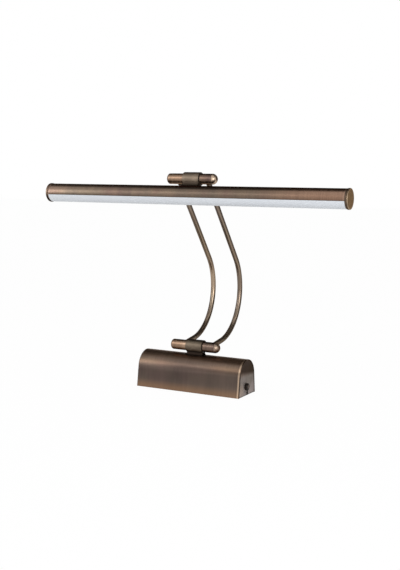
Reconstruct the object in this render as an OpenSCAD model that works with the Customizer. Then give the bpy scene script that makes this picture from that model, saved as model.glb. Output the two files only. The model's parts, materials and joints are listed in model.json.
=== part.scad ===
// Bathroom mirror light: lamp head on a pair of bent arms over an arch-section base.
// Millimetres. +Z leaves the mounting face, +X runs along the lamp, +Y is behind the base.

/* [Base] */
// Length of the base housing along the lamp
base_len = 153; // [148:1:220]
// Depth of the base housing at its mounting face
base_w = 51.5; // [50:0.5:64]
// Height of the base housing above its mounting face
base_h = 47.5; // [46:0.5:60]
// Radius of the rounded top of the base
arch_r = 22.7; // [20:0.1:24]
// Sheet thickness of the base housing
wall = 1.5; // [1:0.1:2]
// Thickness of the end plates
end_t = 2; // [1.5:0.1:3]
// Depth of the end plates behind the rim
end_inset = 0.4; // [0.2:0.1:1]
// Thickness of the mounting plate
plate_t = 2; // [1.5:0.1:3]
// Width of each cover lug along the base
lug_w = 10; // [8:0.5:14]
// Thickness of each cover lug
lug_t = 6; // [5:0.5:7]
// Height of the cover lugs above the mounting face
lug_h = 14; // [13:0.5:18]
// Distance of each cover screw from the middle of the base
cover_screw_x = 36; // [28:1:42]
// Height of the cover screws above the mounting face
cover_screw_z = 8.5; // [7.5:0.5:9.5]
// Distance of each wall screw hole from the end of the base
wall_hole_inset = 16; // [15:0.5:17]
// Diameter of the wall screw holes
wall_hole_d = 5; // [4:0.1:6]

/* [Wiring] */
// Bore of the cable grommet
cable_d = 7; // [5:0.5:8]
// Wall of the cable grommet inside its hole
grommet_wall = 1.5; // [1:0.1:2]
// Width of the grommet flange around its hole
grommet_flange = 2; // [1.5:0.1:2.5]
// Thickness of the grommet flange
grommet_flange_t = 1.5; // [1:0.1:3]
// Distance of the cable hole from the terminal block
cable_gap = 9; // [8:0.5:10]
// Length of the driver case
driver_len = 48; // [40:1:52]
// Width of the driver case
driver_w = 30; // [24:1:31]
// Height of the driver case
driver_h = 20; // [14:1:24]
// Length of the driver case past the lead hole
driver_over = 4; // [3:0.5:6]
// Length of each driver ear
ear_len = 7; // [6.5:0.5:8]
// Thickness of each driver ear
ear_t = 2; // [1.5:0.1:3]
// Distance between driver case and terminal block
block_gap = 14; // [12:0.5:15]
// Length of the terminal block
block_len = 18; // [16:0.5:19]
// Height of the terminal block
block_h = 13; // [12:0.5:16]
// Distance between the poles of the terminal block
pole_pitch = 8.5; // [8:0.1:9]
// Diameter of the terminal screws
pole_screw_d = 4; // [3.5:0.1:4.5]
// Diameter of the lead insulation
lead_d = 1.8; // [1.4:0.1:2]
// Diameter of the lead hole through necks and walls
lead_hole_d = 5; // [4.5:0.1:5.5]
// Distance between the two leads of a pair
lead_spread = 2.2; // [2.1:0.1:2.6]

/* [Switch] */
// Distance of the switch in front of the middle of the base
switch_fwd = 4; // [0:0.5:8]
// Height of the switch above the mounting face
switch_z = 12.2; // [11:0.1:14]
// Diameter of the switch knob
knob_d = 9.5; // [9.3:0.1:11]
// Length of the switch knob
knob_len = 4; // [3.6:0.1:6]
// Wall of the knob around the switch nut
knob_skirt = 0.7; // [0.5:0.1:1]
// Edge break of the knob around its face
knob_edge = 1.5; // [0.5:0.1:2]
// Length of the lever below the knob
lever_len = 5.9; // [3:0.1:6]
// Width of the lever
lever_w = 2.4; // [1.6:0.1:3]
// Thickness of the lever
lever_t = 1.6; // [1:0.1:1.7]
// Depth of the lever behind the knob face
lever_back = 1; // [0.5:0.1:1.4]
// Side of the square switch body
switch_side = 12; // [10:0.5:12.5]
// Depth of the switch body
switch_depth = 16; // [12:0.5:17]
// Diameter of the switch bush
bush_d = 6; // [5.6:0.1:6.2]
// Diameter of the switch shaft
shaft_d = 4; // [3:0.1:4.4]
// Thickness of the switch nut
nut_t = 1.4; // [1:0.1:1.5]

/* [Pivots] */
// Diameter of the cross bars
bar_d = 14; // [12:0.1:16]
// Wall of the cross bars
bar_wall = 2; // [1.5:0.1:2.5]
// Length of each cross bar without its ends
bar_len = 59; // [57:0.5:80]
// Rise of the round right bar ends
dome_h = 6; // [2:0.1:6.5]
// Straight length of the blunt left bar ends
button_len = 5.2; // [2:0.1:8]
// Rise of the blunt left bar ends
button_h = 2.2; // [1:0.1:4]
// Length of the plug of each bar end
plug_len = 4; // [3:0.5:4]
// Wall of the knuckle sleeves around the liner
knuckle_wall = 1.1; // [1:0.1:2]
// Length of the knuckle sleeves
knuckle_len = 24; // [22:0.5:30]
// Thickness of the friction liners
liner_t = 0.6; // [0.5:0.1:1]
// Width of the knuckle necks
neck_w = 10; // [9:0.5:11]
// Width of the knuckle feet on their seats
foot_w = 14; // [12:0.5:16]
// Height of the flare of the knuckle feet
foot_h = 1.6; // [1:0.1:2]
// Height of the lower bar axis above the base top
lower_rise = 10.7; // [10.5:0.1:16]
// Height of the upper bar axis above the lamp tube
upper_rise = 11.7; // [10.8:0.1:16]
// Thickness of the clamp plates inside the walls
clamp_t = 3; // [2.5:0.1:3.5]
// Length of the clamp plates
clamp_len = 25; // [22:0.5:30]
// Width of the clamp plates
clamp_w = 10; // [9:0.5:12]
// Distance of each clamp screw from the lead hole
clamp_screw_x = 8; // [7:0.1:9]

/* [Arms] */
// Diameter of the arm tubes
rod_d = 7; // [5:0.1:8]
// Wall of the arm tubes
rod_wall = 1; // [0.8:0.1:1.2]
// Diameter of the lead sleeve in each arm
arm_lead_d = 4; // [2:0.1:4.2]
// Distance between the two arms, centre to centre
rod_gap = 41.8; // [38:0.1:46]
// Radius of the bend of the arms
bend_r = 67; // [55:0.5:76]
// Angle of the lower arm runs above the horizontal
low_run_angle = 8; // [2:0.1:14]
// Angle of the upper arm runs in front of the vertical
top_run_angle = 40.2; // [37:0.1:44]
// Distance of the upper bar in front of the lower bar
head_fwd = 16.7; // [0:0.1:30]
// Height of the upper bar above the lower bar
head_up = 222.9; // [196:0.1:260]

/* [Head] */
// Diameter of the lamp tube
tube_d = 25; // [24.5:0.1:30]
// Length of the lamp tube between the gaskets
tube_len = 428.5; // [300:0.5:600]
// Wall of the lamp tube
tube_wall = 1.5; // [1.2:0.1:1.8]
// Lean of the lamp head behind the vertical
head_angle = 28.1; // [15:0.1:40]
// Half angle of the light opening
open_angle = 50.5; // [40:0.1:55]
// Wall of the diffuser
diffuser_wall = 2.6; // [2.4:0.1:3]
// Thickness of the hidden diffuser legs
leg_t = 1; // [0.8:0.1:1.2]
// Half angle that the diffuser legs reach to
leg_angle = 60; // [58:0.5:66]
// Width of the lamp tray
tray_w = 19; // [18:0.1:19.5]
// Thickness of the lamp tray
tray_t = 2; // [1.5:0.1:2.2]
// Height of the tray underside above the tube axis
tray_y = 1; // [0.5:0.1:1.2]
// Thickness of the tray ledges
ledge_t = 1.2; // [1:0.1:1.5]
// Width of tray that rests on each ledge
ledge_in = 1.4; // [1:0.1:1.6]
// Width of the light board
board_w = 12; // [10:0.5:13]
// Thickness of the light board
board_t = 1.2; // [1:0.1:1.6]
// Distance between the light chips
chip_pitch = 12; // [8:0.5:20]
// Length of each light chip
chip_len = 3.5; // [3:0.1:5]
// Width of each light chip
chip_w = 2.8; // [2:0.1:5]
// Height of each light chip
chip_h = 0.8; // [0.5:0.1:1.2]
// Diameter of the end caps
cap_d = 26; // [25.6:0.1:31]
// Thickness of the end caps
cap_t = 3; // [2:0.1:6]
// Edge break of the end caps
cap_edge = 0.6; // [0.3:0.1:1]
// Length of the end cap spigots
spigot_len = 5; // [3:0.5:8]
// Thickness of the end gaskets
gasket_t = 1; // [0.6:0.1:2]
// Step of the end gaskets inside the tube surface
gasket_step = 0.4; // [0.2:0.1:0.6]

/* [Fasteners] */
// Diameter of the small screws
screw_d = 3; // [2.5:0.1:3.2]
// Head diameter of the small screws
screw_head_d = 5.4; // [5:0.1:5.6]
// Head height of the small screws
screw_head_h = 1.8; // [1.4:0.1:2]
// Diameter of the earth screw
earth_d = 4; // [3:0.1:5]
// Head diameter of the earth screw
earth_head_d = 7.4; // [6:0.1:8]
// Thickness of the earth tag
tag_t = 0.8; // [0.5:0.1:1]
// Width of the earth tag around the earth screw head
tag_rim = 0.5; // [0.3:0.1:1]

/* [Clearances] */
// Radial running clearance of the pivots
run_gap = 0.05; // [0.02:0.01:0.09]
// Clearance of pieces fixed into each other
fit_gap = 0.03; // [0.01:0.01:0.05]
// Clearance of curved seats
seat_gap = 0.05; // [0.02:0.01:0.1]
// Clearance of loose covers, plates and knobs
loose_gap = 0.3; // [0.2:0.05:0.4]

/* [Hidden] */
$fn = 96;
cut = 1;
blend = 0.02;
arch_z = base_h - arch_r;
side_lean = acos(arch_r / norm([base_w / 2, arch_z])) - atan2(arch_z, base_w / 2);
in_x = base_len / 2 - end_inset - end_t;
out_x = base_len / 2 - end_inset;
plate_len = 2 * (in_x - loose_gap);
lower_z = base_h + lower_rise;
liner_r = bar_d / 2 + run_gap + liner_t;
bore_r = liner_r + fit_gap;
knuckle_r = bore_r + knuckle_wall;
hollow_r = bar_d / 2 - bar_wall;
rod_stop = hollow_r - cut;
tube_r = tube_d / 2;
tube_in = tube_r - tube_wall;
tube_drop = upper_rise + tube_r;
leg_r = tube_in - loose_gap / 2;
spigot_r = leg_r - leg_t - loose_gap;
tray_len = tube_len - 2 * (spigot_len + cut);
board_len = tray_len - 2 * cut;
chip_count = floor((board_len - chip_pitch) / chip_pitch);
block_x = driver_over + block_gap;
block_w = 3 * pole_pitch;
cable_x = block_x + block_len + cable_gap;
tip_gap = 0.4;
joint_len = 0.4;
joint_step = 0.01;
tab_len = 5;
play_angle = 0.8;
socket_depth = 1;
socket_d = 2;
low_pivot = [0, lower_z];
high_pivot = [-head_fwd, lower_z + head_up];
low_dir = [cos(low_run_angle), sin(low_run_angle)];
top_dir = [sin(top_run_angle), -cos(top_run_angle)];
low_angle = low_run_angle - 90;
top_angle = top_run_angle;
bend_take = bend_r * tan((top_angle - low_angle) / 2);
low_run = cross(high_pivot - low_pivot, top_dir) / cross(low_dir, top_dir) - bend_take;
top_run = cross(high_pivot - low_pivot, low_dir) / cross(low_dir, top_dir) - bend_take;
bend_c = low_pivot + low_run * low_dir + bend_r * [-low_dir[1], low_dir[0]];
function tangent_pt(inset) = [(arch_r - inset) * cos(side_lean), arch_z + (arch_r - inset) * sin(side_lean)];
function side_pt(inset, z) = tangent_pt(inset)
    + (tangent_pt(inset)[1] - z) / cos(side_lean) * [sin(side_lean), -cos(side_lean)];

bronze = [0.42, 0.33, 0.26];
dark_bronze = [0.27, 0.21, 0.17];
steel = [0.62, 0.63, 0.65];
black = [0.05, 0.05, 0.05];
opal = [0.88, 0.89, 0.92];

// Planes: a flat drawing of (depth, height) is set upright and runs along the lamp
module on_yz() { rotate([90, 0, 90]) children(); }
module bar_at(p, turn = 0) { on_yz() translate([p[0], p[1], 0]) rotate([0, 0, turn]) children(); }
module at_low() { bar_at(low_pivot) children(); }
module at_high() { bar_at(high_pivot, -head_angle) children(); }
module at_tube() { at_high() translate([0, -tube_drop, 0]) children(); }
module both() { children(); mirror([0, 0, 1]) children(); }
module wedge(half, reach) {
    side = [reach * sin(half), -reach * cos(half)];
    polygon([[0, 0], [-side[0], side[1]], [0, -reach], side]);
}
module ring(outer, inner) { difference() { circle(r = outer); circle(r = inner); } }
// Small screw along +Y of its plane, head underside at the origin
module screw(shank, d = screw_d, head_d = screw_head_d, head_h = screw_head_h) {
    rotate([-90, 0, 0]) cylinder(d = d, h = shank);
    difference() {
        rotate([90, 0, 0]) cylinder(d = head_d, h = head_h);
        translate([0, -head_h / 2, 0]) rotate([90, 0, 0]) cylinder(d = socket_d, h = head_h, $fn = 6);
    }
}

// Base housing
module arch(inset, z0) {
    translate([0, arch_z]) circle(r = arch_r - inset);
    t = tangent_pt(inset + blend);
    b = side_pt(inset, z0);
    polygon([b, t, [-t[0], t[1]], [-b[0], b[1]]]);
}
module on_back_wall() {
    p = side_pt(0, cover_screw_z);
    for (x = [-cover_screw_x, cover_screw_x])
        on_yz() translate([p[0], p[1], x]) rotate([0, 0, side_lean + 90]) children();
}
module seat_holes(rise, depth) {
    translate([0, -rise + cut, 0]) rotate([90, 0, 0]) cylinder(d = lead_hole_d, h = depth + 2 * cut);
    both() translate([0, -rise + cut, clamp_screw_x]) rotate([90, 0, 0])
        cylinder(d = screw_d + 2 * loose_gap, h = depth + 2 * cut);
}
module base_cover() color(bronze) difference() {
    on_yz() linear_extrude(base_len, center = true) arch(0, 0);
    on_yz() linear_extrude(base_len + 2 * cut, center = true) arch(wall, -cut);
    at_low() seat_holes(lower_rise, wall + cut);
    on_back_wall() translate([0, -cut, 0]) rotate([-90, 0, 0])
        cylinder(d = screw_d + 2 * loose_gap, h = wall + 2 * cut);
}
module end_blank() { on_yz() translate([0, 0, in_x]) linear_extrude(end_t) arch(wall + fit_gap, 0); }
module end_plate_left() color(bronze) mirror([1, 0, 0]) end_blank();
module end_plate_right() color(bronze) difference() {
    end_blank();
    at_switch() translate([0, 0, -end_t - cut]) cylinder(d = bush_d + 2 * fit_gap, h = end_t + 2 * cut);
}
module mounting_plate() color(steel) {
    half = side_pt(wall, plate_t)[0] - loose_gap;
    lug_face = side_pt(wall, lug_h)[0];
    difference() {
        union() {
            translate([-plate_len / 2, -half, 0]) cube([plate_len, 2 * half, plate_t]);
            for (x = [-cover_screw_x, cover_screw_x]) intersection() {
                on_yz() translate([0, 0, x]) linear_extrude(lug_w, center = true) arch(wall + loose_gap, 0);
                translate([x - lug_w / 2, lug_face - lug_t, plate_t / 2])
                    cube([lug_w, base_w, lug_h - plate_t / 2]);
            }
        }
        for (x = [-1, 1]) translate([x * (base_len / 2 - wall_hole_inset), 0, -cut])
            cylinder(d = wall_hole_d, h = plate_t + 2 * cut);
        translate([cable_x, 0, -cut]) cylinder(r = grommet_r() + fit_gap, h = plate_t + 2 * cut);
        on_back_wall() rotate([-90, 0, 0])
            cylinder(d = screw_d + 2 * fit_gap, h = wall + loose_gap + lug_t + cut);
        for (p = plate_screw_spots()) translate([p[0], p[1], -cut])
            cylinder(d = screw_d + 2 * fit_gap, h = plate_t + 2 * cut);
        translate([cable_x, earth_y(), -cut]) cylinder(d = earth_d + 2 * fit_gap, h = plate_t + 2 * cut);
    }
}
function grommet_r() = cable_d / 2 + grommet_wall;
function earth_y() = grommet_r() + grommet_flange + earth_head_d / 2 + cut;
function plate_screw_spots() = [[driver_over + ear_len / 2, 0], [driver_over - driver_len - ear_len / 2, 0],
    [block_x + block_len / 2, pole_pitch / 2]];
module cover_screws() color(dark_bronze)
    on_back_wall() screw(wall + lug_t);
module cable_grommet() color(black) translate([cable_x, 0, 0]) difference() {
    union() {
        cylinder(r = grommet_r(), h = plate_t);
        translate([0, 0, plate_t]) cylinder(r = grommet_r() + grommet_flange, h = grommet_flange_t);
    }
    translate([0, 0, -cut]) cylinder(d = cable_d, h = plate_t + grommet_flange_t + 2 * cut);
}

// Wiring inside the base
module led_driver() color([0.85, 0.85, 0.83]) difference() {
    union() {
        translate([driver_over - driver_len, -driver_w / 2, plate_t]) cube([driver_len, driver_w, driver_h]);
        translate([driver_over - driver_len - ear_len, -ear_len, plate_t])
            cube([driver_len + 2 * ear_len, 2 * ear_len, ear_t]);
    }
    for (i = [0, 1]) translate([plate_screw_spots()[i][0], 0, plate_t - cut])
        cylinder(d = screw_d + 2 * loose_gap, h = ear_t + 2 * cut);
}
module driver_screws() color(steel)
    for (i = [0, 1]) translate([plate_screw_spots()[i][0], 0, plate_t + ear_t])
        rotate([-90, 0, 0]) screw(ear_t + plate_t);
module block_poles() {
    for (y = [-1, 0, 1]) translate([block_x + block_len / 2, y * pole_pitch, plate_t]) children();
}
module terminal_block() color([0.93, 0.93, 0.9]) difference() {
    translate([block_x, -block_w / 2, plate_t]) cube([block_len, block_w, block_h]);
    block_poles() for (x = [-1, 1]) translate([x * block_len / 4, 0, block_h / 2])
        cylinder(d = pole_screw_d + 2 * fit_gap, h = block_h);
    translate([plate_screw_spots()[2][0], plate_screw_spots()[2][1], plate_t - cut])
        cylinder(d = screw_d + 2 * loose_gap, h = block_h + 2 * cut);
}
module terminal_screws() color(steel)
    block_poles() for (x = [-1, 1]) translate([x * block_len / 4, 0, block_h / 2]) difference() {
        cylinder(d = pole_screw_d, h = block_h / 3);
        translate([0, 0, block_h / 3 - socket_depth]) cylinder(d = socket_d, h = block_h, $fn = 6);
    }
module block_screw() color(steel)
    translate([plate_screw_spots()[2][0], plate_screw_spots()[2][1], plate_t + block_h])
        rotate([-90, 0, 0]) screw(block_h + plate_t);
module earth_tag() color([0.8, 0.65, 0.3]) translate([cable_x, earth_y(), plate_t]) difference() {
    cylinder(d = earth_head_d + 2 * tag_rim, h = tag_t);
    translate([0, 0, -cut]) cylinder(d = earth_d + 2 * fit_gap, h = tag_t + 2 * cut);
}
module earth_screw() color(steel) translate([cable_x, earth_y(), plate_t + tag_t])
    rotate([-90, 0, 0]) screw(plate_t + tag_t, earth_d, earth_head_d, screw_head_h);
module base_leads() color([0.75, 0.1, 0.1]) {
    top = lower_z - bore_r - knuckle_wall / 2;
    for (y = [-1, 1]) translate([0, y * lead_spread / 2, plate_t + driver_h])
        cylinder(d = lead_d, h = top - plate_t - driver_h);
}
module mains_leads() color([0.2, 0.3, 0.6])
    for (y = [-1, 1]) translate([driver_over, y * pole_pitch, plate_t + block_h / 3])
        rotate([0, 90, 0]) cylinder(d = lead_d, h = block_gap);

// Switch on the right end plate, along its own axis with the end plate face at the origin
module at_switch() { on_yz() translate([-switch_fwd, switch_z, out_x]) children(); }
bush_len = end_t + nut_t + loose_gap;
well_d = knob_d - 2 * knob_skirt;
module switch_body() color([0.15, 0.15, 0.15]) at_switch() difference() {
    translate([0, 0, -end_t]) union() {
        translate([-switch_side / 2, -switch_side / 2, -switch_depth])
            cube([switch_side, switch_side, switch_depth]);
        cylinder(d = bush_d, h = bush_len);
        for (x = [-1, 1]) translate([x * switch_side / 4 - cut, -cut / 2, -switch_depth - tab_len])
            cube([2 * cut, cut, tab_len + cut]);
    }
    translate([0, 0, -end_t - switch_depth / 2]) cylinder(d = shaft_d + 2 * run_gap, h = switch_depth);
}
module switch_nut() color(steel) at_switch() difference() {
    cylinder(d = well_d - 2 * loose_gap, h = nut_t);
    translate([0, 0, -cut]) cylinder(d = bush_d + 2 * fit_gap, h = nut_t + 2 * cut);
}
module switch_lever() color(black) at_switch() {
    well = nut_t + 2 * loose_gap;
    translate([0, 0, loose_gap]) difference() {
        union() {
            cylinder(d = knob_d, h = knob_len - knob_edge);
            translate([0, 0, knob_len - knob_edge])
                cylinder(d1 = knob_d, d2 = knob_d - 2 * knob_edge, h = knob_edge);
        }
        translate([0, 0, -cut]) cylinder(d = well_d, h = well + cut);
    }
    translate([0, 0, -end_t - switch_depth / 2 + cut])
        cylinder(d = shaft_d, h = end_t + switch_depth / 2 + well + loose_gap);
    translate([-lever_w / 2, -knob_d / 2 - lever_len, loose_gap + knob_len - lever_back - lever_t])
        cube([lever_w, lever_len + knob_skirt, lever_t]);
}

// Pivots: bar axis at the origin, neck pointing down to a round seat
module knuckle(rise, seat_r) difference() {
    union() {
        cylinder(r = knuckle_r, h = knuckle_len, center = true);
        linear_extrude(knuckle_len, center = true)
            polygon([[-neck_w / 2, 0], [neck_w / 2, 0], [neck_w / 2, foot_h - rise], [foot_w / 2, -rise],
                [foot_w / 2, -rise - seat_r], [-foot_w / 2, -rise - seat_r], [-foot_w / 2, -rise],
                [-neck_w / 2, foot_h - rise]]);
    }
    translate([0, -rise - seat_r, 0])
        cylinder(r = seat_r + seat_gap, h = knuckle_len + 2 * cut, center = true);
    cylinder(r = bore_r, h = knuckle_len + 2 * cut, center = true);
    rotate([90, 0, 0]) cylinder(d = lead_hole_d, h = rise + cut);
    both() translate([0, 0, clamp_screw_x]) rotate([90, 0, 0])
        cylinder(d = screw_d + 2 * fit_gap, h = rise + cut);
}
module liner() difference() {
    cylinder(r = liner_r, h = knuckle_len, center = true);
    cylinder(r = bar_d / 2 + run_gap, h = knuckle_len + 2 * cut, center = true);
    rotate([90, 0, 0]) cylinder(d = lead_hole_d, h = bar_d);
}
module clamp(rise, seat_r, t) difference() {
    linear_extrude(clamp_len, center = true) intersection() {
        translate([0, -rise - seat_r]) circle(r = seat_r - t - seat_gap);
        translate([-clamp_w / 2, -rise - t - clamp_t]) square([clamp_w, clamp_t + t]);
    }
    translate([0, -rise, 0]) rotate([90, 0, 0]) cylinder(d = lead_hole_d, h = t + clamp_t + cut);
    both() translate([0, -rise, clamp_screw_x]) rotate([90, 0, 0])
        cylinder(d = screw_d + 2 * loose_gap, h = t + clamp_t + cut);
}
module clamp_screws(rise, t) both() translate([0, -rise - t - clamp_t, clamp_screw_x])
    screw(rise + t + clamp_t - bore_r - tip_gap);
module cross_bar(rod_turn, neck_turn) difference() {
    cylinder(d = bar_d, h = bar_len, center = true);
    cylinder(r = hollow_r, h = bar_len + 2 * cut, center = true);
    both() translate([0, 0, rod_gap / 2]) rotate([0, 0, rod_turn]) rotate([0, 90, 0])
        cylinder(d = rod_d + 2 * fit_gap, h = bar_d);
    rotate([0, 0, neck_turn]) rotate([90, 0, 0]) cylinder(d = lead_hole_d, h = bar_d);
}
module bar_end(straight, rise) translate([0, 0, bar_len / 2]) {
    ball_r = (pow(bar_d / 2, 2) + pow(rise, 2)) / (2 * rise);
    intersection() {
        translate([0, 0, straight + rise - ball_r]) sphere(r = ball_r);
        translate([-bar_d, -bar_d, straight]) cube([2 * bar_d, 2 * bar_d, bar_d]);
    }
    if (straight > 0) cylinder(d = bar_d, h = straight);
    translate([0, 0, -plug_len]) cylinder(r = hollow_r - fit_gap, h = plug_len + straight + rise / 4);
}
module bar_caps() {
    bar_end(0, dome_h);
    mirror([0, 0, 1]) bar_end(button_len, button_h);
}
module lower_knuckle() color(bronze) at_low() knuckle(lower_rise, arch_r);
module lower_liner() color(opal) at_low() liner();
module lower_clamp() color(steel) at_low() clamp(lower_rise, arch_r, wall);
module lower_clamp_screws() color(steel) at_low() clamp_screws(lower_rise, wall);
module lower_bar() color(bronze) at_low() cross_bar(low_angle + 90, 0);
module lower_bar_caps() color(bronze) at_low() bar_caps();
module upper_knuckle() color(bronze) at_high() knuckle(upper_rise, tube_r);
module upper_liner() color(opal) at_high() liner();
module upper_clamp() color(steel) at_high() clamp(upper_rise, tube_r, tube_wall);
module upper_clamp_screws() color(steel) at_high() clamp_screws(upper_rise, tube_wall);
module upper_bar() color(bronze) bar_at(high_pivot) cross_bar(top_angle - 90, -head_angle);
module upper_bar_caps() color(bronze) bar_at(high_pivot) bar_caps();

// Arms: straight run, bend, straight run, from bar to bar
module arm_run(angle, side, r, run) {
    rotate([0, 0, angle]) translate([bend_r, 0, 0]) rotate([-90 * side, 0, 0])
        translate([0, 0, joint_len / 4]) cylinder(r = r, h = run - joint_len / 4);
}
module arm_joint(angle, r) {
    rotate([0, 0, angle]) translate([bend_r, 0, 0]) rotate([90, 0, 0])
        cylinder(r = r + joint_step, h = joint_len, center = true);
}
module arm_path(r, more) {
    translate([bend_c[0], bend_c[1], 0]) union() {
        union() {
            rotate([0, 0, low_angle]) rotate_extrude(angle = top_angle - low_angle)
                translate([bend_r, 0]) circle(r = r);
            arm_joint(low_angle, r);
            arm_joint(top_angle, r);
        }
        arm_run(top_angle, 1, r, top_run - rod_stop + more);
        arm_run(low_angle, -1, r, low_run - rod_stop + more);
    }
}
module arm() difference() { arm_path(rod_d / 2, 0); arm_path(rod_d / 2 - rod_wall, cut); }
module arm_left() color(dark_bronze) on_yz() translate([0, 0, -rod_gap / 2]) arm();
module arm_right() color(dark_bronze) on_yz() translate([0, 0, rod_gap / 2]) arm();
module arm_leads() color([0.75, 0.1, 0.1]) for (x = [-1, 1])
    on_yz() translate([0, 0, x * rod_gap / 2]) arm_path(arm_lead_d / 2, 0);

// Lamp head
module lamp_tube() color(bronze) difference() {
    at_tube() {
        linear_extrude(tube_len, center = true) difference() {
            ring(tube_r, tube_in);
            wedge(open_angle, tube_d * 2);
        }
        linear_extrude(tray_len, center = true) for (x = [-1, 1]) intersection() {
            circle(r = tube_in + tube_wall / 2);
            translate([x * (tray_w / 2 - ledge_in + tube_r / 2) - tube_r / 2, tray_y - ledge_t])
                square([tube_r, ledge_t]);
        }
    }
    at_high() seat_holes(upper_rise, tube_wall + cut);
}
module diffuser() color(opal) at_tube() linear_extrude(tube_len, center = true) {
    intersection() { ring(tube_r, tube_r - diffuser_wall); wedge(open_angle - play_angle, tube_d * 2); }
    intersection() { ring(leg_r, leg_r - leg_t); wedge(leg_angle, tube_d * 2); }
}
module led_tray() color([0.8, 0.81, 0.82]) at_tube() difference() {
    linear_extrude(tray_len, center = true) translate([-tray_w / 2, tray_y]) square([tray_w, tray_t]);
    rotate([-90, 0, 0]) cylinder(d = lead_hole_d, h = tube_r);
}
module led_board() color([0.92, 0.94, 0.92]) at_tube()
    linear_extrude(board_len, center = true)
        translate([-board_w / 2, tray_y - board_t]) square([board_w, board_t]);
module led_chips() color([0.98, 0.9, 0.55]) at_tube()
    for (i = [0 : chip_count - 1])
        translate([-chip_w / 2, tray_y - board_t - chip_h,
            (i - (chip_count - 1) / 2) * chip_pitch - chip_len / 2]) cube([chip_w, chip_h, chip_len]);
module head_leads() color([0.75, 0.1, 0.1]) at_tube() {
    top = tube_drop - bore_r - knuckle_wall / 2;
    for (x = [-1, 1]) translate([x * lead_spread / 2, tray_y, 0]) rotate([-90, 0, 0])
        cylinder(d = lead_d, h = top - tray_y);
}
module gasket() color(black) at_tube() translate([0, 0, tube_len / 2]) linear_extrude(gasket_t)
    ring(tube_r - gasket_step, spigot_r + fit_gap);
module end_cap() color(bronze) at_tube() translate([0, 0, tube_len / 2 + gasket_t]) {
    cylinder(d = cap_d, h = cap_t - cap_edge);
    translate([0, 0, cap_t - cap_edge]) cylinder(d1 = cap_d, d2 = cap_d - 2 * cap_edge, h = cap_edge);
    translate([0, 0, -spigot_len]) cylinder(r = spigot_r, h = spigot_len + cut);
}
module gasket_right() gasket();
module gasket_left() mirror([1, 0, 0]) gasket();
module end_cap_right() end_cap();
module end_cap_left() mirror([1, 0, 0]) end_cap();

base_cover();
end_plate_left();
end_plate_right();
mounting_plate();
cover_screws();
cable_grommet();
led_driver();
driver_screws();
terminal_block();
terminal_screws();
block_screw();
earth_tag();
earth_screw();
switch_body();
switch_nut();
switch_lever();
base_leads();
mains_leads();
lower_knuckle();
lower_liner();
lower_clamp();
lower_clamp_screws();
lower_bar();
lower_bar_caps();
arm_left();
arm_right();
arm_leads();
upper_bar();
upper_bar_caps();
upper_knuckle();
upper_liner();
upper_clamp();
upper_clamp_screws();
lamp_tube();
diffuser();
led_tray();
led_board();
led_chips();
head_leads();
gasket_left();
gasket_right();
end_cap_left();
end_cap_right();
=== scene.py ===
"""Looks of the bathroom mirror light: antique bronze lamp head on two bent arms over an arched base."""

import json
import math
from collections import namedtuple
from functools import reduce

import bmesh
import bpy
import numpy as np
from mathutils import Matrix, Vector


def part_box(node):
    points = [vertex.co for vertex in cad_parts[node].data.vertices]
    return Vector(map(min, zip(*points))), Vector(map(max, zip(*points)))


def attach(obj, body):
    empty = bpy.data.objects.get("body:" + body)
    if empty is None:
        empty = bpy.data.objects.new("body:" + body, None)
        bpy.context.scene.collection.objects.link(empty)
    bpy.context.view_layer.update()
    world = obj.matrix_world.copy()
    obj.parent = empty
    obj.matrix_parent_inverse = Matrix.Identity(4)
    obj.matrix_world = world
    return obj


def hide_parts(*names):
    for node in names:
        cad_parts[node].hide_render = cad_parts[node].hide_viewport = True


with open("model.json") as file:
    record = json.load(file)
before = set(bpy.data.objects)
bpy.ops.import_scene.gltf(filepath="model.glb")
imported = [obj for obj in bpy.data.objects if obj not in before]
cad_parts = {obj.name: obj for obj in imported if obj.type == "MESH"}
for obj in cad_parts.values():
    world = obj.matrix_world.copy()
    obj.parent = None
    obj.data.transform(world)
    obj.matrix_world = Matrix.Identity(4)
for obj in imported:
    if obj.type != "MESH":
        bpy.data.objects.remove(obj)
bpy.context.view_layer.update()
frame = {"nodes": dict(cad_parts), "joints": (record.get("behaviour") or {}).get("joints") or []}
MM = 0.001
X, Y, Z = 0, 1, 2


def span(node, way):
    """Lowest and highest place of a CAD node along X, Y or Z, in mm."""
    return [round(corner[way] / MM, 3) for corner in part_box(node)]


# Lengths in mm and turning axes, as (y, z), that the frame gives
BASE_HALF = span("base_cover", X)[1]
BASE_WIDTH = 2 * span("base_cover", Y)[1]
BASE_HEIGHT = span("base_cover", Z)[1]
PLATE_IN, PLATE_OUT = span("end_plate_right", X)
SLEEVE_HALF = span("lower_knuckle", X)[1]
BAR_HALF = span("lower_bar", X)[1]
ROD_X = sum(span("arm_right", X)) / 2
TUBE_HALF = span("lamp_tube", X)[1]
GASKET_OUT = span("gasket_right", X)[1]
SPIGOT_IN, CAP_OUT = span("end_cap_right", X)
KNOB_OUT = span("switch_lever", X)[1]
AXES = {joint["name"]: np.array(joint["pos_m"])[1:] / MM for joint in frame["joints"]}
LOW_BAR = AXES["arm_swing"]
HIGH_BAR = AXES["head_tilt"]
KNOB_AXIS = AXES["switch_turn"]

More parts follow.
